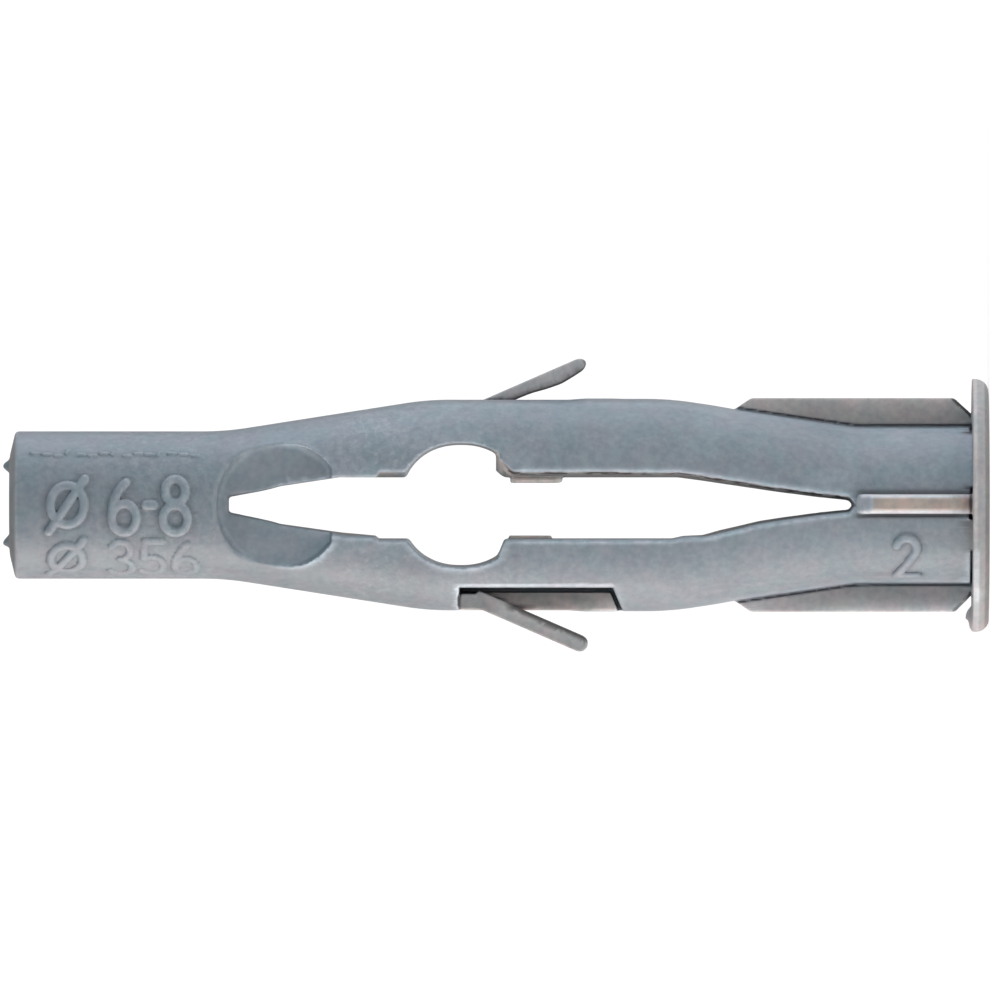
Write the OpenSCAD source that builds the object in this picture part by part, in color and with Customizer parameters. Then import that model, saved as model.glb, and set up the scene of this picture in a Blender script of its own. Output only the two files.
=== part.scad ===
// Nylon wall plug, one moulding, for a 6 mm hole. It stands on its collar:
// the origin is the middle of the collar's outer face and +Z runs along the
// plug to its tip. The legs spread along X, and the slit between them is open
// along Y. The front and the back are the same shape turned half a turn.

/* [Overall] */
// Length from the collar's outer face to the tip's end face
plug_l = 35; // [34:0.5:42]
// Radius of the neck, next to the collar
neck_r = 2.79; // [2.7:0.01:2.9]
// Radius of each half-round leg at the bulge
leg_r = 2.69; // [2.65:0.01:2.8]
// Radius of the tip sleeve
tip_r = 2.63; // [2.5:0.01:2.7]

/* [Collar] */
// Diameter of the collar
collar_d = 9; // [8.4:0.1:10]
// Thickness of the collar
collar_t = 0.55; // [0.45:0.05:0.8]
// Radius on the collar's outer edge
collar_edge = 0.4; // [0.1:0.05:0.4]
// Width of the groove between the collar and the neck
groove_w = 0.16; // [0.1:0.02:0.3]
// Radius at the bottom of that groove
groove_r = 2.4; // [2.2:0.05:2.6]

/* [Legs] */
// How far each leg stands out from the axis at the bulge
spread = 1.07; // [0.9:0.01:1.15]
// Where the legs start to spread, above the collar's face
spread_z = 4.9; // [4.8:0.1:5.2]
// Where the bulge starts
bulge_z = 11.2; // [10.8:0.1:11.6]
// Where the bulge ends
bulge_end_z = 20.1; // [20:0.1:20.6]
// Where the legs meet again
meet_z = 27.2; // [27:0.1:27.6]
// Radius of the bends along each leg
bend_r = 7; // [5:0.5:9]

/* [Slit and hole] */
// Distance of the leg on +X from the middle of the slit
slit_a = 0.98; // [0.9:0.01:1.1]
// Distance of the leg on -X from the middle of the slit
slit_b = 1.18; // [1.1:0.01:1.25]
// Draft of the slit's wall on the leg on +X, in degrees
draft_a = 8.5; // [2:0.5:9]
// Draft of the slit's wall on the leg on -X, in degrees
draft_b = 2.5; // [1:0.5:5]
// Radius of the round hole between the legs
hole_r = 2.14; // [1.9:0.01:2.3]
// Height of that hole above the collar's face
hole_z = 18.84; // [18.6:0.02:19]
// Radius of the round recesses at the tip end of the slit
recess_r = 2.26; // [2:0.01:2.4]
// Height of the recesses above the collar's face
recess_z = 25.3; // [25:0.05:25.6]
// Distance of each recess's flat floor from the middle plane
recess_y = 1.8; // [1.7:0.01:1.95]

/* [Bore] */
// Radius of the screw bore through the collar and the neck
bore_r = 1.7; // [1.5:0.05:1.8]
// Radius of the bore through the tip
tip_bore_r = 1; // [0.7:0.05:1.1]

/* [Fins] */
// Distance of each fin's outer edge from the axis
fin_r = 3.8; // [3.6:0.05:4]
// Thickness of a fin at its root
fin_root = 0.7; // [0.5:0.05:0.9]
// Thickness of a fin at its outer edge
fin_edge = 0.45; // [0.3:0.05:0.5]

/* [Tongues] */
// Thickness of a barb tongue
tongue_t = 0.58; // [0.4:0.02:0.64]
// Width of a barb tongue
tongue_w = 1.45; // [1:0.05:1.6]
// Angle at which a tongue stands out from the plug
tongue_a = 24.5; // [20:0.5:27]

/* [Hidden] */
$fn = 96;
eps = 0.02;
skin = 0.01; // how far a bend stands proud of the straight lengths beside it
lap = 0.05;  // how far a straight length runs into a bend
body_z = collar_t + groove_w; // where the neck starts
far = 6;                      // past the outside of everything

// A bend in the plane of X and Z that leaves the point (x, z) straight up and
// turns towards +X by the angle a. It stands a hair proud of what it joins.
module bend(r, a) {
    translate([bend_r, 0, 0]) rotate([90, 0, 0]) rotate([0, 0, 180 - a])
        rotate_extrude(angle = a) translate([bend_r, 0]) circle(r + skin);
}

// Tangent length of the bends at either end of a ramp
function bend_t(z0, z1) = bend_r * tan(atan(spread / (z1 - z0)) / 2);

// The ramp of one leg from (0, z0), where it is vertical with the radius r0,
// to (spread, z1), where it is vertical again with the radius r1.
module ramp(z0, z1, r0, r1) {
    a = atan(spread / (z1 - z0));
    t = bend_t(z0, z1);
    l = norm([spread, z1 - z0]);
    translate([0, 0, z0 - t]) bend(r0, a);
    translate([0, 0, z0]) rotate([0, a, 0]) translate([0, 0, t - lap])
        cylinder(h = l - 2 * t + 2 * lap, r1 = r0, r2 = r1);
    translate([spread, 0, z1 + t]) rotate([0, 180, 0]) bend(r1, a);
}

// One leg, which bows towards +X, cut at the plane between the legs
module leg() {
    t_in = bend_t(spread_z, bulge_z);
    t_out = bend_t(bulge_end_z, meet_z);
    intersection() {
        union() {
            ramp(spread_z, bulge_z, neck_r, leg_r);
            translate([spread, 0, bulge_z + t_in - lap])
                cylinder(h = bulge_end_z - t_out - bulge_z - t_in + 2 * lap, r = leg_r);
            translate([0, 0, meet_z + bulge_end_z]) mirror([0, 0, 1])
                ramp(bulge_end_z, meet_z, tip_r, leg_r);
        }
        translate([0, -far, 0]) cube([far, 2 * far, plug_l + 1]);
    }
}

// Straight neck below the legs
module neck() {
    translate([0, 0, body_z])
        cylinder(h = spread_z - bend_t(spread_z, bulge_z) - body_z + lap, r = neck_r);
}

// Straight tip sleeve above the legs, with its end face a little domed, and
// the two gate marks on that face
module tip() {
    z0 = meet_z + bend_t(bulge_end_z, meet_z) - lap;
    h = plug_l - z0;
    translate([0, 0, z0]) rotate_extrude() polygon([[0, 0], [tip_r, 0],
        [tip_r, h - 0.45], [tip_r - 0.3, h - 0.15], [tip_r - 0.9, h], [0, h]]);
    for (s = [-1, 1]) translate([s * 1.38, 0, plug_l - 0.1])
        cylinder(h = 0.36, r1 = 0.34, r2 = 0.08);
}

// Collar with its rounded outer edge, and the thin wall in the groove
module collar() {
    rotate_extrude() union() {
        translate([0, collar_edge]) square([collar_d / 2, collar_t - collar_edge]);
        square([collar_d / 2 - collar_edge, collar_t]);
        translate([collar_d / 2 - collar_edge, collar_edge]) circle(collar_edge);
    }
    translate([0, 0, collar_t - eps]) cylinder(h = groove_w + 2 * eps, r = groove_r);
}

// A fin that stands in the plane of X and Z, from the collar up to the height
// z_end. Its sides taper, and both ends of its edge are chamfered.
module fin(z_end, r_end) {
    intersection() {
        linear_extrude(z_end + 1) polygon([
            [1.9, -fin_root / 2 - 0.04], [fin_r, -fin_edge / 2],
            [fin_r, fin_edge / 2], [1.9, fin_root / 2 + 0.04]]);
        rotate([90, 0, 0]) translate([0, 0, -1]) linear_extrude(2) polygon([
            [1.9, collar_t - eps], [fin_r - 0.62, collar_t - eps],
            [fin_r - 0.54, collar_t + 0.08], [fin_r, collar_t + 0.58],
            [fin_r, z_end - 0.6], [r_end, z_end], [1.9, z_end]]);
    }
}

// Edge of the slit along each leg, as distances from the middle plane along Z
edge_a = [[0.13, 5.18], [slit_a, 11.1], [slit_a, 23.1], [0.32, 27.04], [0.2, 27.16]];
edge_b = [[0.13, 5.18], [slit_b, 11.3], [slit_b, 21.8], [1.02, 22.7], [0.32, 27.04], [0.2, 27.16]];

// The wedges that open the slit's wall towards the front and the back. The
// wall is upright for 0.7 mm on either side of the middle plane.
module wall_draft(p, q, draft) {
    a = atan((q[0] - p[0]) / (q[1] - p[1]));
    w = 3.4;
    for (m = [0, 1]) translate([p[0], 0, p[1]]) rotate([0, a, 0]) translate([0, 0, -eps])
        mirror([0, m, 0]) linear_extrude(norm(q - p) + 2 * eps) polygon([
            [-eps, -w], [(w - 0.7) * tan(draft), -w], [-eps, eps / tan(draft) - 0.7]]);
}

module slit() {
    n = len(edge_b);
    rotate([90, 0, 0]) translate([0, 0, -far]) linear_extrude(2 * far) polygon(concat(
        edge_a, [for (i = [n - 1 : -1 : 0]) [-edge_b[i][0], edge_b[i][1]]]));
    for (i = [0 : len(edge_a) - 3]) wall_draft(edge_a[i], edge_a[i + 1], draft_a);
    for (i = [0 : n - 3]) mirror([1, 0, 0]) wall_draft(edge_b[i], edge_b[i + 1], draft_b);
    translate([0, far, edge_a[0][1]]) rotate([90, 0, 0]) cylinder(h = 2 * far, r = 0.13);
}

// The round hole, which stops flat on the side towards the collar
module hole() {
    intersection() {
        translate([0, far, hole_z]) rotate([90, 0, 0]) cylinder(h = 2 * far, r = hole_r);
        rotate([90, 0, 0]) translate([0, 0, -far]) linear_extrude(2 * far)
            polygon([[-3, 17.3], [0, 17.4], [3, 17.65], [3, 22], [-3, 22]]);
    }
}

// Low lands on the slit's walls next to the hole
module lands() {
    translate([0.8, -1.5, 15.2]) cube([0.5, 3, 2]);
    translate([-1.5, -1.5, 15.6]) cube([0.4, 3, 1.65]);
}

module recess() {
    translate([0, -recess_y, recess_z]) rotate([90, 0, 0]) cylinder(h = 3, r = recess_r);
}

// Screw bore from the collar's face, the channel between the legs, tip bore
module bores() {
    rotate_extrude() polygon([
        [0, -1], [bore_r + 0.25, -1], [bore_r + 0.25, 0], [bore_r, 0.25], [bore_r, 5.2],
        [1.25, 14], [1.2, 21], [tip_bore_r, 26.4], [tip_bore_r, plug_l + 1], [0, plug_l + 1]]);
}

// Pocket in the leg on +X, open to +Y, from which the tongue stands out
module pocket() {
    rotate([90, 0, 0]) translate([0, 0, -far]) linear_extrude(far) polygon([
        [2.95, 13.42], [2.95, 18.9], [far, 18.9], [far, 12.15]]);
}

// Barb tongue in that pocket. It joins the leg at the pocket's upper end.
module tongue() {
    translate([4.97, 0.12 + tongue_w, 14.58]) rotate([90, 0, 0]) linear_extrude(tongue_w) {
        circle(tongue_t / 2);
        rotate(90 + tongue_a) translate([0, -tongue_t / 2]) square([5.1, tongue_t]);
    }
}

module plug() color([0.48, 0.53, 0.57]) {
    difference() {
        union() {
            difference() {
                union() {
                    neck();
                    leg();
                    mirror([1, 0, 0]) leg();
                    tip();
                    collar();
                    for (a = [0, 180]) rotate([0, 0, a]) {
                        fin(9.05, 3.42);
                        rotate([0, 0, 90]) fin(4.77, neck_r - 0.02);
                    }
                }
                slit();
                hole();
                for (a = [0, 180]) rotate([0, 0, a]) {
                    recess();
                    pocket();
                }
            }
            lands();
            for (a = [0, 180]) rotate([0, 0, a]) tongue();
        }
        bores();
    }
}

plug();
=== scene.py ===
"""Looks of the nylon wall plug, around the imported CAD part.

The plug stands on its collar. Its tip points along +Z, its legs spread along X, and the
camera looks along +Y with +X upwards in the picture. Lengths in the shape code are
millimetres. The shape is one closed surface, taken from a distance field, because the
real plug is one moulding whose features run into each other.
"""

import bmesh
import bpy
import numpy as np
from mathutils import Matrix


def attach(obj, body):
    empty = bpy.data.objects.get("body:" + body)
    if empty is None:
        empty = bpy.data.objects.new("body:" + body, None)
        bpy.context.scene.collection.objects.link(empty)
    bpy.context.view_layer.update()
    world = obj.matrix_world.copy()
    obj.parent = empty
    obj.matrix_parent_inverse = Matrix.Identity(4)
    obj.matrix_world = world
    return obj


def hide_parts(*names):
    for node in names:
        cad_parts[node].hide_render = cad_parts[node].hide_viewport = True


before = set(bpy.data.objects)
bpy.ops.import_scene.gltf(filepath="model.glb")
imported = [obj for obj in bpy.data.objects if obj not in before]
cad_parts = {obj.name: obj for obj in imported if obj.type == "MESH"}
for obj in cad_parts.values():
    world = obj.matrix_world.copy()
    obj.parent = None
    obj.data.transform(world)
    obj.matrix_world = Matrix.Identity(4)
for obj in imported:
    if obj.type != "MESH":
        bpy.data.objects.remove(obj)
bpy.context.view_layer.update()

CELL = 0.07   # grid spacing of the distance field
MOST_TRIS = 80000
PX = 28.0                             # picture pixels for each millimetre


# ---------------------------------------------------------------- distance field
def soft(t, w):
    """Zero below -w, t above w, and a parabola between."""
    return np.where(t <= -w, 0.0, np.where(t >= w, t, (t + w) ** 2 / (4 * w)))


def cut(a, b, k):
    """Larger of two distances, with the edge rounded over about k."""
    h = np.maximum(k - np.abs(a - b), 0.0)
    return np.maximum(a, b) + h * h * (0.25 / k)


def join(a, b, k):
    """Smaller of two distances, with a fillet of about k."""
    h = np.maximum(k - np.abs(a - b), 0.0)
    return np.minimum(a, b) - h * h * (0.25 / k)


def step(t, w):
    """0 below -w, 1 above w."""
    s = np.clip((t + w) / (2 * w), 0.0, 1.0)
    return s * s * (3 - 2 * s)


def curve(points, blur):
    """A smoothed line through (z, value) points."""
    pts = np.array(sorted(points), float)
    zs = np.arange(-1.0, 36.5, 0.02)
    v = np.interp(zs, pts[:, 0], pts[:, 1])
    n = int(3 * blur / 0.02) + 1
    ker = np.exp(-0.5 * (np.arange(-n, n + 1) * 0.02 / blur) ** 2)
    ker /= ker.sum()
    v = np.convolve(np.pad(v, n, "edge"), ker, "valid")
    return lambda z: np.interp(z, zs, v).astype(z.dtype)


# Edge of the slit on either leg, as a distance from the middle plane along Z
slit_a = curve([(3, -2), (4.88, -0.02), (4.93, 0.11), (5.05, 0.16), (5.3, 0.19), (6.0, 0.26), (7.45, 0.45),
                (8.9, 0.67), (10.3, 0.88), (11.1, 0.985), (23.2, 0.985), (25.3, 0.67), (25.6, 0.58),
                (26.0, 0.49), (27.1, 0.285), (29, 0.1)], 0.04)
slit_b = curve([(3, -2), (4.88, -0.02), (4.93, 0.11), (5.05, 0.16), (5.3, 0.18), (6.0, 0.25), (7.45, 0.45),
                (8.2, 0.57), (8.9, 0.74), (9.6, 0.9), (10.2, 1.07), (10.9, 1.1), (11.3, 1.19), (21.8, 1.19),
                (21.86, 1.09), (22.3, 1.05), (23.1, 0.98), (25.3, 0.67), (25.6, 0.58), (26.0, 0.49),
                (27.1, 0.255), (29, 0.1)], 0.04)
# How far the slit's wall opens towards the front and the back, per millimetre
draft_a = curve([(4, 0.13), (17.3, 0.13), (21.78, 0.13), (21.86, 0.0), (23, 0.0), (25, 0.03), (28, 0.03)], 0.04)
draft_b = curve([(4, 0.1), (9.8, 0.08), (10.6, 0.02), (16, 0.02), (22, 0.03), (23, 0.06), (28, 0.06)], 0.1)
bore_r = curve([(-1, 1.95), (0, 1.95), (0.25, 1.7), (5.2, 1.7), (14, 1.25), (21, 1.2), (26.4, 1.0), (36, 1.0)], 0.05)


# How thick the tongue on +X is along its length, from its free end
tongue_a = curve([(-1, 0.40), (0.0, 0.43), (0.45, 0.51), (1.0, 0.585), (1.6, 0.54), (2.1, 0.465), (2.5, 0.45),
                  (6, 0.45)], 0.1)


def leg_d(z):
    return (0.161 * (soft(z - 4.77, 0.3) - soft(z - 11.43, 0.8))
            - 0.148 * (soft(z - 20.03, 0.8) - soft(z - 27.27, 0.8)))


def leg_r(z):
    full = 0.03 * step(z - 9.4, 0.7) * step(14.7 - z, 0.4) * (1 + 0.5 * step(z - 13.2, 0.3))
    return (full + 2.79 - 0.0149 * (soft(z - 4.77, 0.3) - soft(z - 11.43, 0.8))
            - 0.00829 * (soft(z - 20.03, 0.8) - soft(z - 27.27, 0.8)))


def legs(x, y, z):
    """Distance to the two legs' own surface, without what stands on it or is cut into it."""
    return np.sqrt((np.abs(x) - leg_d(z)) ** 2 + y * y) - leg_r(z)


# ---- raised marks: plain numbers and bars, drawn as strokes on the unrolled surface
def glyph(name):
    """Strokes of one sign in a box 1 wide and 2 high, as lists of points."""
    def ring(cx, cy, rx, ry, a0=0, a1=360, n=28):
        a = np.radians(np.linspace(a0, a1, n))
        return np.stack([cx + rx * np.cos(a), cy + ry * np.sin(a)], 1)
    if name == "dia":
        return [ring(0.5, 1.0, 0.6, 0.7), np.array([[-0.16, 0.04], [1.12, 1.94]])]
    if name == "6":
        return [ring(0.5, 0.56, 0.42, 0.5), ring(1.06, 0.6, 0.98, 1.36, 180, 120, 12)]
    if name == "8":
        return [ring(0.5, 0.53, 0.42, 0.48), ring(0.5, 1.48, 0.34, 0.42)]
    if name == "3":
        return [ring(0.42, 1.47, 0.38, 0.43, 150, -90, 16), ring(0.42, 0.53, 0.44, 0.5, 90, -150, 18)]
    if name == "5":
        return [np.array([[0.84, 1.92], [0.17, 1.92], [0.12, 1.1]]), ring(0.42, 0.6, 0.46, 0.56, 125, -145, 18)]
    if name == "2":
        return [ring(0.45, 1.5, 0.38, 0.42, 165, -35, 16), np.array([[0.76, 1.26], [0.08, 0.04], [0.86, 0.04]])]
    if name == "dash":
        return [np.array([[0.12, 1.0], [0.42, 1.0]])]
    if name == "bar":
        return [np.array([[0.0, 0.0], [0.2, 0.0]])]
    if name == "tick":
        return [np.array([[0.0, 0.0], [0.06, 0.14]])]
    raise ValueError(name)


MARKS = [  # sign, picture x of its left side, height up the surface of its foot, size, relief
    ("dia", 54, -1.0, 1.0, 1.0), ("6", 110, -1.06, 1.05, 1.0), ("dash", 143, -1.0, 1.0, 0.8), ("8", 161, -1.06, 1.05, 1.0),
    ("dia", 54, -3.15, 0.95, 0.55), ("3", 110, -3.15, 0.93, 0.38), ("5", 141, -3.15, 0.93, 0.34), ("6", 173, -3.15, 0.93, 0.3),
] + [("tick" if i % 4 == 3 else "bar", 33 + 11.4 * i, 2.04 - 0.05 * (i % 3), 1.0, 0.42 - 0.06 * (i % 3)) for i in range(15)]
NECK_MARKS = [("2", 894, -3.05, 0.96, 0.9)]


def height_map(marks, v0, v1, u0, u1, pitch=0.02, more=0.0):
    """Height of the marks on a grid of v along Z and u round the surface. Their strokes are domed."""
    vs = np.arange(v0, v1, pitch)
    us = np.arange(u0, u1, pitch)
    V, U = np.meshgrid(vs, us, indexing="ij")
    h = np.zeros(V.shape)
    for name, px, foot, size, relief in marks:
        dist = np.full(V.shape, 9.0)
        for line in glyph(name):
            zz = (988.5 - px) / PX - line[:, 0] * size
            uu = foot + line[:, 1] * size
            for (za, ua), (zb, ub) in zip(zip(zz[:-1], uu[:-1]), zip(zz[1:], uu[1:])):
                dz, du = zb - za, ub - ua
                t = np.clip(((V - za) * dz + (U - ua) * du) / max(dz * dz + du * du, 1e-9), 0, 1)
                dist = np.minimum(dist, np.hypot(V - za - t * dz, U - ua - t * du))
        wide = (0.175 if relief > 0.5 else 0.15 if foot < 0 else 0.09) + more
        top = np.clip(1 - (dist / wide) ** 2, 0, 1)
        h = np.maximum(h, 0.14 * relief * np.sqrt(top) * step(top - 0.1, 0.1))
    return vs, us, h


def shadow_map(marks, v0, v1, u0, u1, pitch=0.02):
    """How dark the surface is round the marks, on the same kind of grid."""
    vs, us, wide = height_map(marks, v0, v1, u0, u1, pitch, 0.11)
    _, _, own = height_map(marks, v0, v1, u0, u1, pitch)
    return vs, us, np.clip(wide / 0.09, 0, 1) * 0.24 * np.clip(1 - own / 0.03, 0, 1)


def sample(table, v, u):
    vs, us, h = table
    a = np.clip((v - vs[0]) / (vs[1] - vs[0]), 0, len(vs) - 1.001)
    b = np.clip((u - us[0]) / (us[1] - us[0]), 0, len(us) - 1.001)
    i, j = a.astype(int), b.astype(int)
    a, b = a - i, b - j
    return ((h[i, j] * (1 - a) + h[i + 1, j] * a) * (1 - b)
            + (h[i, j + 1] * (1 - a) + h[i + 1, j + 1] * a) * b)


TIP_MAP = height_map(MARKS, 26.6, 34.4, -3.9, 3.4)
NECK_MAP = height_map(NECK_MARKS, 1.6, 4.4, -3.9, 0.2)
TIP_SHADE = shadow_map(MARKS, 26.6, 34.4, -3.9, 3.4)
NECK_SHADE = shadow_map(NECK_MARKS, 1.6, 4.4, -3.9, 0.2)


def tongue(px, py, z, side):
    """Distance to the barb tongue of one leg, from its root in the pocket to its free tip."""
    c, q = np.cos(np.radians(23.5)), np.sin(np.radians(23.5))
    ex, ez = px - 5.268, z - 14.554
    along = ez * c - ex * q
    across = ex * c + ez * q
    thick = tongue_a(along) if side > 0 else 0.58
    bar = cut(across - 0.01, -across - thick, 0.1)
    bar = cut(bar, -along - 0.12, 0.36)
    bar = cut(bar, along - 4.25, 0.05)
    # the block that its root grows from, at the pocket's upper end
    block = cut(np.maximum(3.17 - px, 18.1 - z), cut(px - 3.71, z - 18.86, 0.05), 0.05)
    bar = join(np.maximum(bar, 2.9 - px), block, 0.1)
    return cut(bar, np.abs(py - 0.84) - 0.76, 0.08)


def field(x, y, z, marks=True):
    """Distance to the plug's surface, negative inside. The arrays broadcast."""
    zlo, zhi = float(z.min()), float(z.max())

    def near(lo, hi):
        return zlo < hi + 0.6 and zhi > lo - 0.6

    shape = np.broadcast_shapes(x.shape, y.shape, z.shape)
    ax, ay = np.abs(x), np.abs(y)
    rr = np.sqrt(x * x + y * y)
    body = legs(x, y, z)
    if marks and (near(27, 34) or near(1.8, 4.2)):
        full = np.broadcast_to(body, shape)
        pick = (np.abs(full) < 0.6) & np.broadcast_to(y < 0.3, shape)
        if pick.any():
            xs, ys, zs = (np.broadcast_to(a, shape)[pick] for a in (x, y, z))
            u = 2.66 * np.arctan2(xs, -ys)
            h = np.zeros_like(xs)
            m = zs > 26.7
            h[m] = sample(TIP_MAP, zs[m], u[m])
            m = (zs > 1.7) & (zs < 4.3)
            h[m] = sample(NECK_MAP, zs[m], u[m] * (2.79 / 2.66))
            full = full.copy()
            full[pick] -= h
            body = full
    if near(34, 36):
        top = 34.965 - 0.24 * soft(rr - 1.72, 0.2)
        body = cut(body, z - top, 0.14)
    if near(0, 2):
        fill = step(x - 0.66, 0.1) * step(2.55 - x, 0.1) + step(-0.52 - x, 0.06) * step(x + 1.6, 0.06)
        start = 0.73 - 0.08 * step(x, 0.4) - 0.07 * step(-1.62 - x, 0.08) - 0.25 * fill
        body = cut(body, start - z, 0.05)
    solid = body

    if near(0.5, 9.1):
        # the two long fins, on the legs
        t = 0.40 - (ax - 1.9) * (0.165 / 1.9)
        root = np.exp(-((body - 0.05) / 0.05) ** 2) * 0.055
        fin = cut(ay - t + root, ax - 3.82, 0.07)
        ends = np.maximum((z - 9.07 + (ax - 3.42) * 1.5) * 0.555, z - 9.05)
        slope = np.where(x > 0, 1.106, 0.98)
        foot = np.where(x > 0, 3.255, 3.222)
        ends = cut(ends, ((ax - foot) * slope + 0.6 - z + 0.55 * ay) / np.sqrt(1 + slope * slope), 0.04)
        ends = np.maximum(ends, 0.5 - z)
        fin = cut(fin, ends, 0.06)
        fin = np.maximum(fin, 1.5 - ax)
        solid = join(solid, fin, 0.05)
        # the two short fins, on the neck
        xc = np.abs(x - 0.035)
        root = np.exp(-((body - 0.04) / 0.07) ** 2) * 0.05
        crown = np.minimum(3.8, 3.2 + (np.maximum(z, 0.62) - 0.6) / 1.2)
        fin = cut(xc - 0.355 + (ay - 2.7) * 0.02 + root, (xc - 0.185 + (ay - crown) * 0.7) * 0.76, 0.03)
        fin = cut(fin, ay - 3.8, 0.05)
        ends = np.maximum((z - 4.80 + (ay - 2.75) * 0.55) * 0.876, z - 4.80 + xc * 0.3)
        ends = cut(ends, ((ay - 3.2) * 1.2 + 0.6 - z) / 1.56, 0.05)
        fin = cut(fin, np.maximum(ends, 0.5 - z), 0.14)
        fin = np.maximum(fin, 1.5 - ay)
        solid = join(solid, fin, 0.05)
    if near(0, 0.9):
        collar = cut(cut(rr - 4.51, -z, 0.57), z - 0.59 + 0.12 * step(-1.62 - x, 0.08) * step(3.0 - rr, 0.1), 0.06)
        lip = np.sqrt(((x + 4.03) / 0.46) ** 2 + (y / 1.5) ** 2 + ((z - 0.42) / 0.40) ** 2) - 1.0
        collar = join(collar, lip * 0.38, 0.12)
        # the groove behind it is deep by the fins and shallow between them
        deep = 2.4 + 0.3 * fill
        neck = np.maximum(rr - deep, np.abs(z - 0.6) - 0.3)
        solid = join(join(solid, collar, 0.02), neck, 0.03)

    if near(4, 28):
        y0 = bore_r(z) * 0.97
        over = soft(ay - y0, 0.1)
        gap = np.maximum(x - slit_a(z) - draft_a(z) * over, -x - slit_b(z) - draft_b(z) * over) * 0.99
        gap = cut(gap, z - 27.135, 0.12)
        solid = cut(solid, -gap, 0.11)
    if near(16.5, 21.1):
        hole = (ax ** 2.2 + np.abs(z - 18.84) ** 2.2) ** (1 / 2.2) - 2.143 - 0.05 * soft(ay - 0.9, 0.2)
        edge = np.interp(x, [-3, -1.72, -1.4, -1.24, -1.11, 0, 0.79, 0.94, 0.99, 1.22, 3],
                         [17.5, 17.5, 17.37, 17.3, 17.14, 17.0, 17.05, 17.12, 17.32, 17.59, 17.59])
        lean = (0.09 + 0.53 * np.clip(1.643 - x, 0, 0.45)) * (x > 0)
        hole = cut(hole, (edge - lean * soft(ay - 0.9, 0.2) - z) * 0.9, 0.1)
        solid = cut(solid, -hole, 0.1)
    if near(23, 27.9):
        # the recess's rim is sharp towards the legs and soft towards the tip
        soft_rim = 0.06 + 0.14 * step(z - 26.5, 0.8)
        disc = cut(np.sqrt(x * x + (z - 25.3) ** 2) - 2.27, 1.79 - ay, 0.3)
        disc = cut(disc, 23.46 - z, 0.05)
        h = np.maximum(soft_rim - np.abs(solid + disc), 0.0)
        solid = np.maximum(solid, -disc) + h * h * (0.25 / soft_rim)
    if near(12.2, 19.1):
        for s in (1.0, -1.0):
            px, py = x * s, y * s
            end = ((13.42 - z) - (px - 2.95) * 0.42) * 0.92
            pocket = np.maximum(np.maximum(2.95 - px, z - 18.9), np.maximum(end, -py))
            groove = np.maximum(np.abs(px - 3.05) - 0.075, np.maximum(z - 18.86, end))
            side = np.maximum(np.abs(end + 0.07) - 0.07, np.maximum(2.95 - px, z - 18.8))
            side = np.maximum(side, (px - 3.95) if s < 0 else (px - 3.4))
            groove = np.maximum(np.minimum(groove, side), np.abs(py - 0.15) - 0.5)
            solid = cut(solid, -pocket, 0.11)
            solid = cut(solid, -groove, 0.03)
            solid = join(solid, tongue(px, py, z, s), 0.05)
    if near(14.9, 17.3):
        low = cut(np.abs(x - 1.25) - 0.46, np.abs(z - 16.15) - 0.93, 0.08)
        low = cut(low, (x * -1.0 + 0.78 + (15.3 - z) * 0.5) * 0.9, 0.08)
        low = cut(low, ay - 1.55, 0.08)
        solid = join(solid, low, 0.04)
        low = cut(np.abs(x + 1.4) - 0.31, np.abs(z - 16.37) - 0.76, 0.06)
        low = cut(low, ay - 1.7, 0.08)
        solid = join(solid, low, 0.04)
    solid = cut(solid, -(rr - bore_r(z)), 0.05)
    if near(34.8, 35.3):
        for xc, sl in ((1.39, 0.0), (-1.36, 0.35)):
            q = np.sqrt((x - xc + (z - 35.2) * sl) ** 2 + y * y)
            nub = (q - 0.05 - (35.22 - z) * 0.75) * 0.8
            nub = cut(np.maximum(nub, 34.7 - z), z - 35.2, 0.08)
            solid = join(solid, nub, 0.06)
    return np.broadcast_to(solid, shape)


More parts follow.
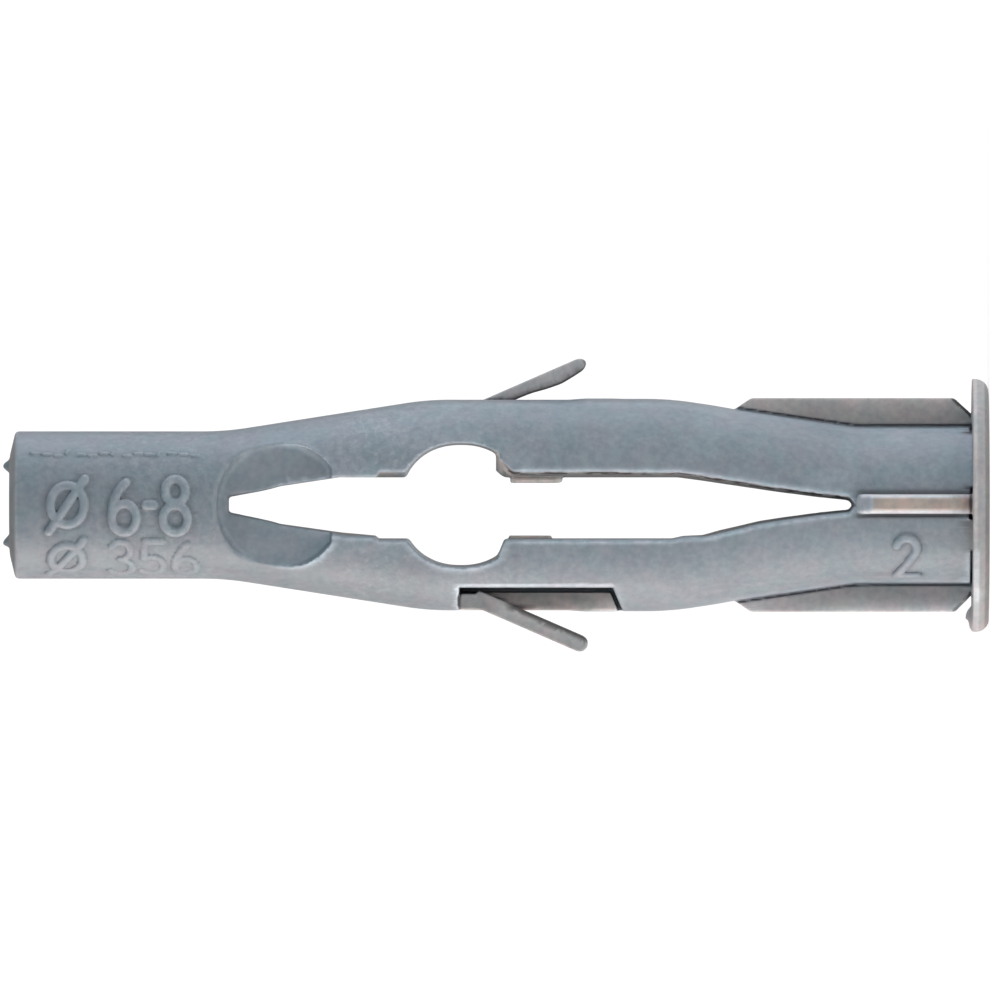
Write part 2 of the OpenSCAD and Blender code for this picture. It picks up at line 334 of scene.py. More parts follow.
def surface():
    """The field's zero surface as quads with their corners on it."""
    xs = np.arange(-5.46, 5.47, CELL, dtype=np.float32) + 0.013
    ys = np.arange(-4.76, 4.77, CELL, dtype=np.float32) + 0.011
    zs = np.arange(-0.2, 35.5, CELL, dtype=np.float32) + 0.007
    F = np.full((len(xs), len(ys), len(zs)), 1.0, np.float32)
    for k in range(0, len(zs), 12):
        z = zs[k:k + 12]
        wide = 5.5 if (z[-1] < 1.2 or (z[-1] > 12 and z[0] < 19.4)) else 4.05
        deep = 4.8 if z[-1] < 1.2 else (4.05 if z[0] < 5.2 else 3.0)
        i = np.where(np.abs(xs) <= wide)[0]
        j = np.where(np.abs(ys) <= deep)[0]
        F[i[0]:i[-1] + 1, j[0]:j[-1] + 1, k:k + 12] = field(
            xs[i][:, None, None], ys[j][None, :, None], z[None, None, :])
    nx, ny, nz = F.shape
    inside = F < 0
    cell = lambda i, j, k: (i * ny + j) * nz + k
    cells, points, flips = [], [], []
    for axis in range(3):
        a = [slice(None)] * 3
        b = [slice(None)] * 3
        a[axis], b[axis] = slice(None, -1), slice(1, None)
        i, j, k = np.nonzero(inside[tuple(a)] != inside[tuple(b)])
        f0 = F[i, j, k]
        n = [i, j, k]
        n[axis] = n[axis] + 1
        f1 = F[tuple(n)]
        p = np.stack([xs[i], ys[j], zs[k]], 1).astype(float)
        p[:, axis] += CELL * f0 / (f0 - f1)
        around = {0: [(0, -1, -1), (0, 0, -1), (0, 0, 0), (0, -1, 0)],
                  1: [(-1, 0, -1), (-1, 0, 0), (0, 0, 0), (0, 0, -1)],
                  2: [(-1, -1, 0), (0, -1, 0), (0, 0, 0), (-1, 0, 0)]}[axis]
        cells.append(np.stack([cell(i + o[0], j + o[1], k + o[2]) for o in around], 1))
        points.append(p)
        flips.append(f0 > 0)
    cells = np.concatenate(cells)
    points = np.repeat(np.concatenate(points), 4, axis=0)
    flips = np.concatenate(flips)
    ids, inv = np.unique(cells.ravel(), return_inverse=True)
    num = np.bincount(inv)
    verts = np.stack([np.bincount(inv, points[:, c]) / num for c in range(3)], 1)
    quads = inv.reshape(-1, 4)
    quads[flips] = quads[flips][:, ::-1]
    return verts, quads


def slope_at(p, e=0.012, marks=True):
    """Field and its gradient at points."""
    f = field(p[:, 0], p[:, 1], p[:, 2], marks)
    g = np.empty_like(p)
    for c in range(3):
        a, b = p.copy(), p.copy()
        a[:, c] += e
        b[:, c] -= e
        g[:, c] = (field(a[:, 0], a[:, 1], a[:, 2], marks) - field(b[:, 0], b[:, 1], b[:, 2], marks)) / (2 * e)
    return f, g


def settle(p, times=2):
    """Moves points along the gradient on to the surface."""
    p = p.copy()
    for _ in range(times):
        f, g = slope_at(p)
        n2 = np.maximum((g * g).sum(1), 0.05)
        m = -(f / n2)[:, None] * g
        size = np.linalg.norm(m, axis=1)
        p += m * np.minimum(1.0, 0.6 * CELL / np.maximum(size, 1e-9))[:, None]
    return p


def tones(p, n):
    """What the material needs to know about each point of the surface: how deep it sits in a
    crease, which is painted dark as shade, whether it is a recess floor, painted darker as shade,
    how much lighter or darker its colour is painted for light that comes through, is caught or
    is shaded off there (tone, 1 on the plain body), how warm that painted light is, how coarse
    the grain is, and where the slit's wall takes patches of painted shade."""
    x, y, z = p.T
    nx, ny, nz = n.T
    ax, ay = np.abs(x), np.abs(y)
    rr = np.hypot(x, y)
    skin = legs(x, y, z)
    q = p + n * 0.13
    crease = np.clip(1 - field(q[:, 0], q[:, 1], q[:, 2]) / 0.13, 0, 1)
    blur = 0.04 + 0.25 * step(z - 26.6, 0.8)
    inset = 2.24 - np.hypot(x, z - 25.3)
    disc = step(inset - 0.4 * (blur - 0.04), blur) * (ay < 1.95) * step(z - 23.5, 0.03)
    disc *= 1 - step(24.05 - z, 0.06) * step(1.25 - x, 0.05) * (x > 0)
    tone, warm = np.ones(len(p)), np.zeros(len(p))
    # painted light on the recess floor: a little darker over most of it, lighter near its rim and lightest by its wall
    # on the leg's side, against the shade that falls there
    floor = (ay < 1.95) * (np.abs(ny) > 0.8) * step(inset + 0.05, 0.03) * step(z - 23.45, 0.03) * step(27.7 - z, 0.05)
    tone *= 1 + floor * (-0.07 + 0.30 * np.exp(-np.clip(np.minimum(inset, (z - 23.46) * 0.8), 0, 3) / 0.25)
                         + 0.55 * (x < 0) * np.exp(-np.clip(z - 23.46, 0, 9) / 0.7))

    def put(mask, value, heat):
        tone[:] = tone * (1 - mask) + value * mask
        warm[:] = warm * (1 - mask) + heat * mask

    def band(t, half, w=0.02):
        return step(half - np.abs(t), w)

    on_body = step(0.05 - skin, 0.03) * step(skin + 0.07, 0.03) * step(z - 0.62, 0.02)
    # the body: painted shade on the tip's front and lower side, painted light beside the hole
    tone *= 1 - (0.09 - 0.08 * step(np.abs(nx) - 0.88, 0.1)) * step(z - 26.9, 0.5)
    tone *= 1 - 0.03 * step(-x - 1.2, 0.5) * step(z - 26.9, 0.5)
    around = step(0.2 - np.abs(inset), 0.1) * step(z - 25.0, 1.2) * step(2.4 - ax, 0.1) * step(ay - 1.7, 0.1)
    crease = crease * (1 - 0.85 * around)
    tone *= 1 + 0.09 * step(x - 0.9, 0.1) * step(1.9 - x, 0.2) * step(z - 16.1, 0.2) * step(17.6 - z, 0.2) * on_body
    # painted shade: a darker, warmer band where the legs' surface turns to face +X, with painted light just inside it
    brink = step(nx - 0.955, 0.03) * on_body * step(z - 9.3, 0.3) * step(34.6 - z, 0.1)
    tone *= 1 - 0.15 * brink
    tone *= 1 + 0.12 * step(nx - 0.88, 0.04) * (1 - brink) * on_body * step(z - 9.3, 0.5) * step(20 - z, 0.5)
    warm += 0.05 * brink
    # painted light and shade in slow patches over the legs
    for z0, z1, x0, x1, gain in ((5.2, 9.6, 1.3, 2.75, -0.06), (10.3, 19.2, 2.55, 3.5, -0.07), (18.0, 21.5, 1.9, 2.65, 0.09),
                                 (20.9, 23.5, 0.6, 1.45, 0.1), (16.6, 17.6, -2.2, -1.3, -0.09), (4.9, 6.4, 0.5, 1.3, 0.1)):
        tone *= 1 + gain * step(z - z0, 0.3) * step(z1 - z, 0.3) * step(x - x0, 0.15) * step(x1 - x, 0.15) * on_body
    # painted light: paler by the collar and beside the long fins, where they shade the body; painted shade darkens the
    # lower leg towards the tip
    up = step(x + 0.8, 0.3)
    tone *= 1 + (0.1 + 0.2 * up) * np.exp(-np.clip(z - 0.7, 0, 9) / (0.5 + 0.5 * up)) * on_body
    beside = np.clip(1 - (ay - 0.32) / (0.85 + 0.6 * step(4.2 - z, 1.0) * (x > 0)), 0, 1) * step(8.9 - z, 0.2) * on_body
    tone *= 1 + beside * np.where(x > 0, 0.42, 0.16) * step(ax - 2.0, 0.2)
    tone *= 1 + 0.42 * np.clip(1 - (ay - 0.42) / 0.5, 0, 1) * (x < 0) * step(ax - 2.0, 0.2) * step(9.2 - z, 0.2) * on_body
    tone *= 1 + 0.12 * step(3.2 - z, 0.6) * step(-x - 1.7, 0.3) * on_body
    tone *= 1 - 0.10 * step(-x - 1.9, 0.3) * step(z - 19.5, 0.8) * step(27 - z, 0.8)

    # long fins: painted dark by the body where shade falls, paler outwards as light comes through; their chamfers by
    # the collar are painted in shadow
    proud = step(skin - 0.09, 0.05)
    over = step(z - 0.62, 0.03)
    fin = proud * over * step(9.2 - z, 0.05) * step(ax - 2.7, 0.1) * step(1.0 - ay, 0.1)
    out = np.clip(skin / 0.95, 0, 1)
    along = np.where(x > 0, np.interp(z, [1.2, 2.8, 4.2, 5.7, 7.1, 8.5, 9.1], [1.09, 0.97, 0.96, 1.0, 1.14, 1.36, 1.4]),
                     np.interp(z, [1.2, 2.8, 4.2, 5.7, 7.1, 8.5, 9.1], [1.12, 0.93, 0.89, 1.0, 1.22, 1.78, 1.8]))
    put(fin, np.where(x > 0, 0.95 + 0.1 * out + 0.5 * out ** 3, 0.90 + 0.08 * out + 1.1 * out ** 4)
        * along, np.where(x > 0, 0.5, 0.36))
    put(fin * step(2.2 - z, 0.2) * step(-nz - 0.35, 0.1), np.where(x > 0, 0.12, 0.95), 0.2)
    tone *= 1 - (0.5 - 0.2 * step(z - 7.9, 0.2)) * np.exp(-((skin - 0.07) / 0.065) ** 2) * step(0.6 - ay, 0.05) * step(ax - 2.2, 0.1) * step(9.1 - z, 0.1) * over
    # short fins: flanks painted pale and a warm top, as light that is caught and comes through; a painted highlight
    # strip on the front fin; painted shade lines along their roots
    side = np.abs(x - 0.035)
    fin = proud * over * step(4.95 - z, 0.05) * step(ay - 2.7, 0.05)
    put(fin, 1.25, 0.4)
    put(fin * step(ay - 3.5, 0.1), 1.25, np.where(y < 0, 0.85, 0.3))
    put(fin * step(nz - 0.25, 0.25), np.where(y < 0, 1.62, 1.3), 0.1)
    put(fin * step(-nz - 0.3, 0.25), np.where(y < 0, 1.55, 1.2), np.where(y < 0, 0.8, 0.3))
    painted_highlight = np.where(x > 0.035, np.exp(-((side - 0.285) / 0.062) ** 2), np.exp(-((side - 0.29) / 0.078) ** 2))
    painted_highlight *= fin * step(-y - 3.1, 0.1) * step(4.72 - z, 0.08)
    bright = np.interp(z, [0.62, 1.0, 1.45, 4.1, 4.4, 4.7], [2.5, 2.3, 2.2, 2.2, 2.8, 2.8])
    put(np.clip(painted_highlight * 1.08, 0, 1), bright, np.where(x > 0.035, 0.26, 0.2))
    root = on_body * step(ay - 2.3, 0.1) * step(4.75 - z, 0.15) * step(side - 0.2, 0.05)
    tone *= 1 - root * np.where(y < 0, 1, 0.5) * np.where(x < 0, 0.9 * np.exp(-((side - 0.435) / 0.066) ** 2),
                                0.55 * np.exp(-(np.maximum(side - 0.43, 0) / 0.095) ** 2))
    crease = crease * (1 - 0.6 * root * (x > 0) * step(side - 0.36, 0.02))
    crease = crease * (1 - 0.85 * step(ay - 2.4, 0.1) * step(z - 4.4, 0.15) * step(5.0 - z, 0.1) * step(0.8 - ax, 0.1))
    # the collar: painted light, a bright inner edge and a darker outer one, a painted highlight spot on the front of
    # its lower rim, and the groove behind it painted dark as shade except where it is shallow
    low = step(-1.62 - x, 0.08)
    rim = step(0.62 - z, 0.02) * step(rr - 2.9, 0.1)
    put(rim, 1.27, 0.42)
    put(rim * step(z - 0.42 + 0.06 * low, 0.03), 1.72 + 0.25 * low * step(2.8 + x, 0.1) * step(-y, 0.5), 0.5 - 0.2 * low)
    put(rim * step(0.16 - z, 0.03), 0.74, 0.5)
    put(step(-x - 3.4, 0.05) * step(0.98 - z, 0.03) * step(z - 0.45, 0.05), 1.6, 0.3)
    painted_highlight = np.exp(-((x + 3.2) / 0.28) ** 2 - ((z - 0.42) / 0.12) ** 2) * rim * (y < 0)
    tone *= 1 + 0.5 * painted_highlight
    pale = step(x - 0.66, 0.1) * step(2.55 - x, 0.1) + step(-0.52 - x, 0.06) * step(x + 1.6, 0.06)
    groove = step(0.72 - 0.07 * low - z, 0.02) * step(z - 0.6 + 0.12 * low, 0.01) * step(2.79 + 0.1 * pale - rr, 0.03)
    put(groove, 0.08 + 0.3 * low + pale * np.where(x > 0, 1.2, 0.75), 0.3 * (x < 0))
    tone *= 1 + 0.2 * pale * (x > 0) * step(0.95 - z, 0.1) * on_body
    crease = crease * (1 - 0.85 * pale * step(0.85 - z, 0.04) * step(z - 0.3, 0.1))
    crease = np.maximum(crease, groove * (1 - pale))
    crease = crease * (1 - rim)

    for s in (1.0, -1.0):
        px, py = x * s, y * s
        zone = step(px - 2.9, 0.05) * step(z - 12.3, 0.1) * step(18.95 - z, 0.03)
        # the pocket floor and the tongue are painted lighter and warmer, as light that reaches and comes through them
        bar = zone * step(0.05 - tongue(px, py, z, s), 0.03)
        floor = zone * step(0.1 - np.abs(py), 0.03) * step(ny * s - 0.5, 0.2) * (1 - bar)
        put(floor, (1.0 + (0.85 - 0.35 * step(z - 14.0, 0.3) * step(16.0 - z, 0.3)) * np.clip((px - 3.2) / 0.4, 0, 1)) * np.interp(z, [13.5, 14.5, 15.5, 16.5, 18], [1, 0.92, 0.92, 1.1, 1.25]), 0.55)
        put(bar, 1.42 if s > 0 else np.interp(z, [16.2, 16.9, 17.4, 18.0], [1.15, 1.15, 1.3, 0.95]), 0.36 if s > 0 else 0.4)
        # painted shadow along the tongue's inner edge, and over the free end of the +X tongue; on -X a strip beside
        # that shadow is painted lighter
        c, w = np.cos(np.radians(23.5)), np.sin(np.radians(23.5))
        length = (z - 14.554) * c - (px - 5.268) * w
        inner = (px - 5.268) * c + (z - 14.554) * w + (tongue_a(length) if s > 0 else 0.58)
        put(bar * step((0.085 if s > 0 else 0.135) - inner, 0.025) * step(3.1 - length, 0.3), 0.3, 0.5)
        if s > 0:
            put(bar * step(-length + 0.0, 0.03), 0.55, 0.5)
        else:
            tone *= 1 + 0.16 * bar * step(inner - 0.15, 0.04) * step(0.42 - inner, 0.12) * step(3.1 - length, 0.3)
        # a painted highlight along the pocket's edges, where they catch the light
        pocket_edge_highlight = np.maximum(band(px - 2.868, 0.055) * band(z - 16.2, 2.8, 0.1),
                          band(z - 18.965, 0.045) * band(px - 3.3, 0.45, 0.05))
        put(pocket_edge_highlight * on_body * step(py - 0.6, 0.2), 1.85, 0.1)

    # the slit's walls are painted warm and a little lighter, as light that comes through them, the lands on them paler
    # still; a strip of the upper wall at the hole's edge is painted bright, and patches of painted shade lie on the
    # upper wall's front
    land = step(1.8 - ax, 0.05) * step(z - 15.1, 0.05) * step(17.35 - z, 0.05) * step(1.75 - ay, 0.05)
    wall = step(z - 4.8, 0.1) * step(23.3 - z, 0.1) * step(2.4 - ax, 0.1) * (1 - step(z - 17.75, 0.05) * step(21.1 - z, 0.05))
    put(wall * step(-skin - 0.1, 0.1) * (1 - step(ay - 2.2, 0.1) * (nx > 0)), 1.12, 0.42 - 0.24 * step(y + 1.1, 0.6))
    put(land * step(-skin - 0.5, 0.1) * step(-ny - 0.5, 0.2), 1.3, 0.7)
    dash = (wall * (1 - land) * step(-nx - 0.6, 0.1) * step(x - 0.1, 0.05) * step(-skin - 0.07, 0.04) * step(17.3 - z, 0.1)
            * step(skin + 0.7, 0.08) * step(-y - 1.2, 0.1))
    put(step(x - 0.9, 0.05) * step(1.85 - x, 0.05) * step(z - 16.95, 0.05) * step(17.7 - z, 0.05) * step(-skin - 0.1, 0.04)
        * (1 - land), 2.2 - 1.0 * step(y + 1.1, 0.6), 0.6 - 0.35 * step(y + 1.1, 0.6))
    # the tip's end face is painted darker, as shade where it faces away from the lights
    put(step(z - 34.80, 0.05) * step(rr - 1.8, 0.3), 0.66 + 0.2 * step(x - 0.6, 0.3), 0.15)
    # raised marks are painted pale as if lit, with a painted shadow round them
    tip_side = step(z - 26.6, 0.1) * step(34.6 - z, 0.05)
    neck_side = step(z - 1.9, 0.1) * step(4.2 - z, 0.1) * step(2.6 - ax, 0.1) * step(-y - 0.4, 0.1) * step(-x - 0.6, 0.1)
    tone *= 1 + 0.2 * np.clip(skin / 0.1, 0, 1) * (tip_side + neck_side)
    u = 2.66 * np.arctan2(x, -y)
    shade = np.where(z > 20, sample(TIP_SHADE, z, u), sample(NECK_SHADE, z, u * (2.79 / 2.66)))
    tone *= 1 - shade * (y < 0.2) * on_body * (tip_side + neck_side) * (np.abs(u) < 3.3)
    # sharp edges get a painted highlight, strongest on those that face down
    q = p - n * 0.14
    edge = np.clip(1 + field(q[:, 0], q[:, 1], q[:, 2]) / 0.14, 0, 1)
    body_edge = edge * step(0.06 - skin, 0.03) * step(z - 0.66 + 0.07 * low, 0.04) * step(34.5 - z, 0.1)
    body_edge *= 1 - step(z - 25.6, 0.4) * step(28.0 - z, 0.1) * step(2.35 - ax, 0.1)
    slit_edge = step(z - 4.9, 0.2) * step(16.8 - z, 0.2) * step(1.9 - ax, 0.1)
    tone *= 1 + body_edge * np.where(nx < 0, 1.3 + 1.1 * slit_edge, np.where(z > 16.8, 0.3 - 0.24 * step(x - 1.0, 0.3) * step(21 - z, 0.3), 0.55 + (0.55 + 0.3 * step(11.5 - z, 1.0)) * slit_edge))
    # the tip's end has a pale line round it
    tone *= 1 + 0.34 * band(z - 34.71, 0.05, 0.035) * step(rr - 2.4, 0.05)
    warm += 0.15 * band(z - 34.71, 0.05, 0.035) * step(rr - 2.4, 0.05)
    rough = (np.exp(-((z - 21.9) / 1.6) ** 2) * np.where(x > 0, 0.95, 0.7) * (0.4 + 0.6 * step(-ny, 0.5))
             + 0.6 * np.exp(-((z - 29.5) / 2.5) ** 2) + 0.4 * np.exp(-((z - 17.5) / 2.5) ** 2)) * (1 - disc)
    return {"crease": crease, "disc": disc, "tone": tone, "warm": warm, "rough": np.clip(rough, 0, 1.5), "dash": dash}


def finest(m):
    """Longest edge to leave at each place, where the tone changes over a short way."""
    x, y, z = m.T
    ax, ay, rr = np.abs(x), np.abs(y), np.hypot(x, y)
    most = np.full(len(m), 0.7)

    def zone(where, size):
        most[where] = np.minimum(most[where], size)

    zone((z > 4.6) & (z < 27.4) & (ax < 1.9), 0.24)
    zone((z > 0.5) & (z < 9.2) & (ay < 1.2) & (ax > 2.2), 0.22)
    zone((z > 27) & (z < 34.7) & (y < 0) & (rr > 2.2), 0.18)
    zone((z > 22.8) & (z < 28) & (ay > 1.2) & (ax < 2.6), 0.18)
    zone((z > 12.1) & (z < 19.2) & (ax > 2.6) & (x * y > 0), 0.15)
    zone((z > 1.8) & (z < 4.3) & (y < -0.5) & (x < -0.5) & (x > -2.4), 0.14)
    zone((z < 2.0) & (rr > 2.2), 0.22)
    zone((z < 0.85) & (rr > 2.2), 0.16)
    zone((z > 0.5) & (z < 1.2) & (rr > 2.4) & (rr < 3.0), 0.055)
    zone((z > 16.4) & (z < 21.3) & (ax < 2.5) & (rr > 2.2), 0.14)
    zone((z > 0.5) & (z < 5.2) & (ax < 0.75) & (ay > 2.2), 0.11)
    zone((z > 0.5) & (z < 4.9) & (ax < 0.5) & (y < -3.1), 0.05)
    zone((z > 0.5) & (z < 1.6) & (x > 0.6) & (x < 2.7) & (y < 0) & (rr < 3.0), 0.12)
    zone((z > 34.5) & (rr > 2.3), 0.12)
    zone((z > 4.9) & (z < 17.4) & (y < -1.1) & (x > 0) & (ax < 1.5), 0.12)
    most[y > 0.6] *= 1.3
    return most


def split_long(me):
    """Splits edges that are longer than the tone's changes allow. Works in millimetres."""
    bm = bmesh.new()
    bm.from_mesh(me)
    for _ in range(3):
        bm.verts.ensure_lookup_table()
        bm.edges.ensure_lookup_table()
        co = np.array([v.co[:] for v in bm.verts])
        ends = np.array([(e.verts[0].index, e.verts[1].index) for e in bm.edges])
        a, b = co[ends[:, 0]], co[ends[:, 1]]
        long = np.nonzero(np.linalg.norm(a - b, axis=1) > 1.78 * finest((a + b) / 2))[0]
        if not len(long):
            break
        bmesh.ops.subdivide_edges(bm, edges=[bm.edges[i] for i in long], cuts=1, use_single_edge=True)
        bmesh.ops.triangulate(bm, faces=[f for f in bm.faces if len(f.verts) > 3])
        bm.verts.index_update()
    bm.to_mesh(me)
    bm.free()


def build(name):
    verts, quads = surface()
    verts = settle(verts)
    me = bpy.data.meshes.new(name)
    me.from_pydata((verts * 1e-3).tolist(), [], quads.tolist())
    me.update()
    obj = bpy.data.objects.new(name, me)
    bpy.context.scene.collection.objects.link(obj)
    tris = 2 * len(quads)
    # fewer faces where the surface is smooth
    if tris > MOST_TRIS:
        # worked on in millimetres, because the collapse compares squared distances
        me.transform(Matrix.Scale(1000.0, 4))
        mod = obj.modifiers.new("fewer", "DECIMATE")
        mod.ratio = MOST_TRIS / tris
        mod.use_collapse_triangulate = True
        bpy.context.view_layer.update()
        dg = bpy.context.evaluated_depsgraph_get()
        small = bpy.data.meshes.new_from_object(obj.evaluated_get(dg))
        obj.modifiers.clear()
        obj.data = small
        bpy.data.meshes.remove(me)
        me = small
        me.name = name
        split_long(me)
        co = np.empty(len(me.vertices) * 3, np.float32)
        me.vertices.foreach_get("co", co)
        p = settle(co.reshape(-1, 3).astype(float), 1)
        me.vertices.foreach_set("co", (p * 1e-3).astype(np.float32).ravel())
        me.update()
    else:
        p = verts
    print("plug surface:", tris, "triangles before,", sum(len(f.vertices) - 2 for f in me.polygons), "after")
    f, g = slope_at(p, 0.02)
    n = g / np.maximum(np.linalg.norm(g, axis=1), 1e-6)[:, None]
    me.polygons.foreach_set("use_smooth", np.ones(len(me.polygons), bool))
    me.normals_split_custom_set_from_vertices(n.tolist())
    for key, val in tones(p, n).items():
        att = me.attributes.new(key, "FLOAT", "POINT")
        att.data.foreach_set("value", val.astype(np.float32))
    return obj


plug = build("plug_body")
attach(plug, "root")
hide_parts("plug")


# ---------------------------------------------------------------- material
class Nodes:
    def __init__(self, name):
        self.mat = bpy.data.materials.new(name)
        self.mat.use_nodes = True
        self.t = self.mat.node_tree
        self.out = self.t.nodes["Material Output"]
        self.bsdf = self.t.nodes["Principled BSDF"]

    def add(self, kind, **values):
        n = self.t.nodes.new(kind)
        for k, v in values.items():
            if k in n.inputs:
                n.inputs[k].default_value = v
            else:
                setattr(n, k, v)
        return n

    def link(self, a, b):
        self.t.links.new(a, b)

    def math(self, op, a, b=None, clamp=False):
        n = self.t.nodes.new("ShaderNodeMath")
        n.operation = op
        n.use_clamp = clamp
        for i, v in enumerate((a, b)):
            if v is None:
                continue
            if hasattr(v, "is_output"):
                self.link(v, n.inputs[i])
            else:
                n.inputs[i].default_value = v
        return n.outputs[0]

    def mix(self, fac, a, b, mode="MIX"):
        n = self.t.nodes.new("ShaderNodeMix")
        n.data_type = "RGBA"
        n.blend_type = mode
        for key, v in ((0, fac), (6, a), (7, b)):
            if hasattr(v, "is_output"):
                self.link(v, n.inputs[key])
            else:
                n.inputs[key].default_value = v
        return n.outputs[2]

    def noise(self, vec, scale, detail=2.0, rough=0.5, lac=2.0):
        n = self.add("ShaderNodeTexNoise", Scale=scale, Detail=detail, Roughness=rough, Lacunarity=lac)
        self.link(vec, n.inputs["Vector"])
        return n.outputs["Fac"]

    def ramp(self, fac, stops):
        n = self.t.nodes.new("ShaderNodeValToRGB")
        e = n.color_ramp.elements
        while len(e) < len(stops):
            e.new(0.5)
        for el, (pos, val) in zip(e, stops):
            el.position = pos
            el.color = (val, val, val, 1) if isinstance(val, (int, float)) else (*val, 1)
        self.link(fac, n.inputs["Fac"])
        return n.outputs["Color"]

    def attr(self, name):
        n = self.t.nodes.new("ShaderNodeAttribute")
        n.attribute_name = name
        return n.outputs["Fac"]


def nylon():
    m = Nodes("grey_nylon")
    geo = m.add("ShaderNodeTexCoord").outputs["Object"]
    crease, disc, tone, warm, coarse, dash = (m.attr(a) for a in ("crease", "disc", "tone", "warm", "rough", "dash"))

    cloud = m.noise(geo, 260, 3, 0.55)                  # slow change over some millimetres
    patch = m.noise(geo, 1700, 2, 0.5)                  # blotches of half a millimetre
    tint = m.noise(geo, 1150, 1, 0.5)
    grain = m.noise(geo, 4300, 1, 0.5)                  # spark-eroded grain, about 0.2 mm
    fine = m.noise(geo, 14000, 1, 0.5)
    fleck = m.ramp(m.noise(geo, 3600, 2, 0.65, 2.3), [(0.50, 0.0), (0.66, 1.0)])

    base = m.mix(m.ramp(cloud, [(0.3, 0.0), (0.7, 1.0)]), (0.241, 0.280, 0.317, 1), (0.279, 0.317, 0.351, 1))
    speck = m.ramp(grain, [(0.32, 0.0), (0.68, 1.0)])
    base = m.mix(0.38, base, m.mix(speck, (0.165, 0.205, 0.240, 1), (0.325, 0.36, 0.388, 1)))
    blot = m.ramp(patch, [(0.35, 0.0), (0.65, 1.0)])
    base = m.mix(0.22, base, m.mix(blot, (0.185, 0.224, 0.258, 1), (0.30, 0.335, 0.365, 1)))
    # a faint drift between teal and mauve
    hue = m.mix(m.ramp(tint, [(0.36, 0.0), (0.64, 1.0)]), (0.955, 1.01, 1.0, 1), (1.045, 0.99, 1.0, 1))
    base = m.mix(1.0, base, hue, "MULTIPLY")
    # bright flecks where the mould is coarser
    some = m.math("ADD", m.math("MULTIPLY", coarse, 0.42), 0.06)
    base = m.mix(m.math("MULTIPLY", fleck, some), base, (0.42, 0.455, 0.48, 1))
    # the recess floors are painted darker and bluer, as shade
    base = m.mix(m.math("MULTIPLY", disc, 0.13), base, (0.16, 0.20, 0.235, 1))
    # painted light: thin walls are tinted warm for the pale, warm light that comes through them
    base = m.mix(warm, base, (1.42, 0.965, 0.73, 1), "MULTIPLY")
    # tone paints light and shade into the colour: lighter where light is caught or comes through, darker where shade
    # falls
    lit = m.add("ShaderNodeVectorMath", operation="SCALE")
    m.link(base, lit.inputs[0])
    m.link(tone, lit.inputs["Scale"])
    # painted shade lies in patches on the slit's upper wall
    wall_shade = m.ramp(m.noise(geo, 2300, 1, 0.5), [(0.46, 0.0), (0.54, 1.0)])
    lit_wall_shade = m.mix(m.math("MULTIPLY", dash, wall_shade), lit.outputs["Vector"], (0.06, 0.052, 0.052, 1))
    # creases are painted near-black, as shade
    deep = m.math("MULTIPLY", m.ramp(crease, [(0.2, 0.0), (0.8, 1.0)]), 0.85)
    base = m.mix(deep, lit_wall_shade, (0.035, 0.035, 0.042, 1))
    m.link(base, m.bsdf.inputs["Base Color"])

    rough = m.math("ADD", m.math("MULTIPLY", grain, 0.22), 0.40)
    m.link(rough, m.bsdf.inputs["Roughness"])
    m.bsdf.inputs["IOR"].default_value = 1.53
    m.bsdf.inputs["Subsurface Weight"].default_value = 0.15
    m.bsdf.inputs["Subsurface Radius"].default_value = (1.0, 0.85, 0.75)
    m.bsdf.inputs["Subsurface Scale"].default_value = 0.0005

    bump = m.add("ShaderNodeBump", Strength=0.5, Distance=0.00003)
    m.link(grain, bump.inputs["Height"])
    bump2 = m.add("ShaderNodeBump", Strength=0.35, Distance=0.00001)
    m.link(fine, bump2.inputs["Height"])
    m.link(bump.outputs["Normal"], bump2.inputs["Normal"])
    m.link(bump2.outputs["Normal"], m.bsdf.inputs["Normal"])
    return m.mat


plug.data.materials.clear()
plug.data.materials.append(nylon())


# ---------------------------------------------------------------- floor, light, camera
def disc_floor(radius):
    rings = [0.0, 0.006, 0.012, 0.02, 0.035, 0.06, 0.1, radius]
    n = 96
    verts = [(0, 0, 0)]
    faces = []
    for r in rings[1:]:
        verts += [(r * np.cos(2 * np.pi * k / n), r * np.sin(2 * np.pi * k / n), 0.0) for k in range(n)]
    faces += [(0, 1 + k, 1 + (k + 1) % n) for k in range(n)]
    for i in range(len(rings) - 2):
        a, b = 1 + i * n, 1 + (i + 1) * n
        faces += [(a + k, b + k, b + (k + 1) % n, a + (k + 1) % n) for k in range(n)]
    me = bpy.data.meshes.new("floor")
    me.from_pydata([tuple(map(float, v)) for v in verts], [], faces)
    me.update()
    o = bpy.data.objects.new("floor", me)
    bpy.context.scene.collection.objects.link(o)
    m = Nodes("pale_floor")
    m.bsdf.inputs["Base Color"].default_value = (0.82, 0.82, 0.82, 1)
    m.bsdf.inputs["Roughness"].default_value = 0.9
    geo = m.add("ShaderNodeTexCoord").outputs["Object"]
    n2 = m.noise(geo, 900, 3, 0.5)
    col = m.mix(n2, (0.80, 0.80, 0.80, 1), (0.84, 0.84, 0.84, 1))
    m.link(col, m.bsdf.inputs["Base Color"])
    m.bsdf.inputs["Emission Color"].default_value = (1, 1, 1, 1)
    m.bsdf.inputs["Emission Strength"].default_value = 0.56
    me.materials.append(m.mat)
    return o


disc_floor(0.16)


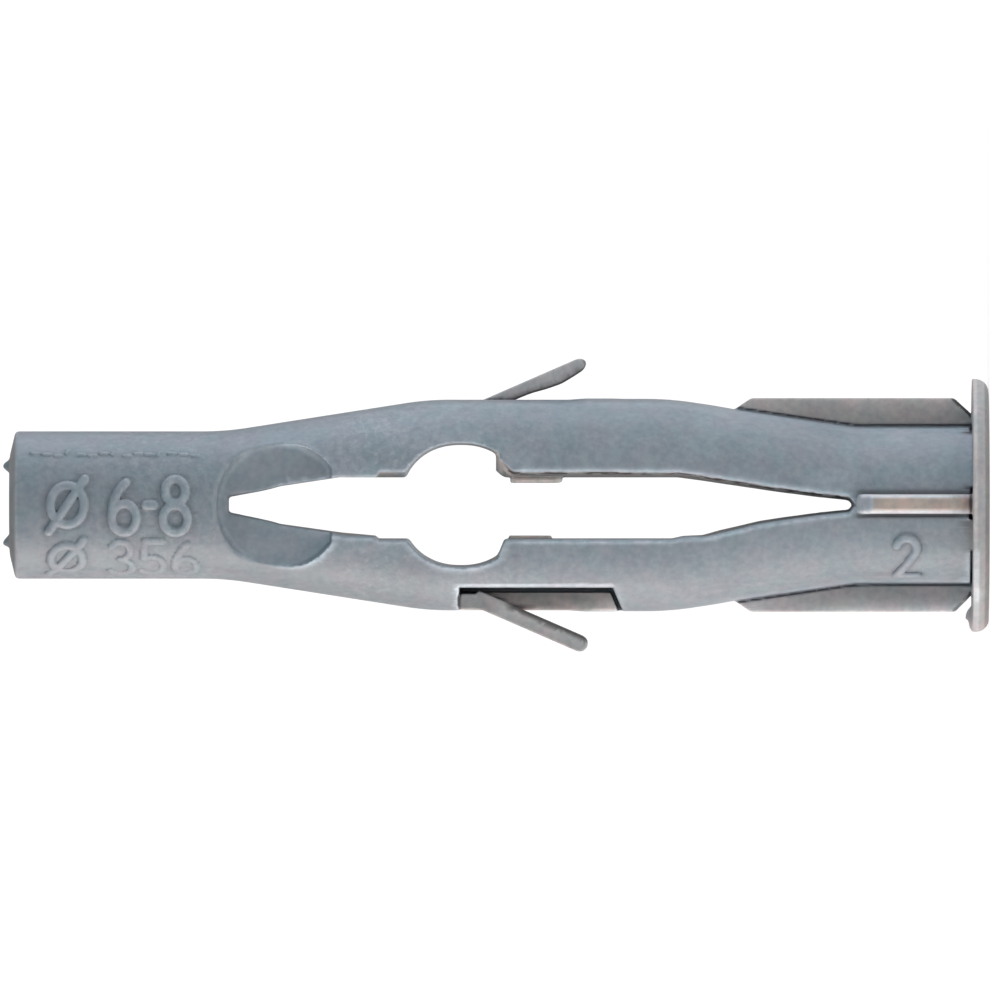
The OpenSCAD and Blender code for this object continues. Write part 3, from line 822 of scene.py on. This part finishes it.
def area(name, where, look, size, power, color):
    l = bpy.data.lights.new(name, "AREA")
    l.shape = "RECTANGLE"
    l.size, l.size_y = size
    l.energy = power
    l.color = color
    o = bpy.data.objects.new(name, l)
    bpy.context.scene.collection.objects.link(o)
    o.location = where
    d = Matrix.Translation(look).to_translation() - o.location
    o.rotation_mode = "QUATERNION"
    o.rotation_quaternion = d.to_track_quat("-Z", "Y")
    return o


area("light_top", (0.30, 0.05, 0.03), (0, 0, 0.0175), (0.20, 0.20), 0.47, (0.76, 0.85, 1.0))
area("light_bottom", (-0.30, -0.02, 0.03), (0, 0, 0.0175), (0.20, 0.20), 0.83, (1.0, 0.86, 0.80))

# The studio's backdrop behind the plug is brighter than the room in front of it
world = bpy.data.worlds.new("studio")
world.use_nodes = True
wt = world.node_tree
wt.nodes.clear()
out = wt.nodes.new("ShaderNodeOutputWorld")
seen = wt.nodes.new("ShaderNodeBackground")
seen.inputs["Color"].default_value = (1, 1, 1, 1)
seen.inputs["Strength"].default_value = 1.05
lit = wt.nodes.new("ShaderNodeBackground")
lit.inputs["Strength"].default_value = 1.0
way = wt.nodes.new("ShaderNodeTexCoord")
axes = wt.nodes.new("ShaderNodeSeparateXYZ")
behind = wt.nodes.new("ShaderNodeMapRange")
behind.inputs["From Min"].default_value = -0.15
behind.inputs["From Max"].default_value = 0.35
sky = wt.nodes.new("ShaderNodeMix")
sky.data_type = "RGBA"
sky.inputs[6].default_value = (0.455, 0.503, 0.533, 1)
sky.inputs[7].default_value = (0.46, 0.40, 0.36, 1)
wt.links.new(way.outputs["Generated"], axes.inputs["Vector"])
wt.links.new(axes.outputs["Y"], behind.inputs["Value"])
wt.links.new(behind.outputs["Result"], sky.inputs[0])
wt.links.new(sky.outputs[2], lit.inputs["Color"])
path = wt.nodes.new("ShaderNodeLightPath")
mixer = wt.nodes.new("ShaderNodeMixShader")
wt.links.new(path.outputs["Is Camera Ray"], mixer.inputs["Fac"])
wt.links.new(lit.outputs["Background"], mixer.inputs[1])
wt.links.new(seen.outputs["Background"], mixer.inputs[2])
wt.links.new(mixer.outputs["Shader"], out.inputs["Surface"])
scene = bpy.context.scene
scene.world = world
scene.view_settings.view_transform = "Standard"
scene.view_settings.look = "None"

# The camera looks square on at the front. The picture's top is +X and its left is +Z.
DIST = 1.5
WIDTH = 1000 / PX * 1e-3
cam = bpy.data.cameras.new("camera")
cam.sensor_width = 36.0
cam.lens = 36.0 * DIST / WIDTH
cam.clip_start, cam.clip_end = 0.05, 5.0
eye = bpy.data.objects.new("camera", cam)
scene.collection.objects.link(eye)
eye.matrix_world = Matrix((
    (0, 1, 0, (505 - 500) / PX * 1e-3),
    (0, 0, -1, -DIST),
    (-1, 0, 0, (988.5 - 500) / PX * 1e-3),
    (0, 0, 0, 1)))
scene.camera = eye
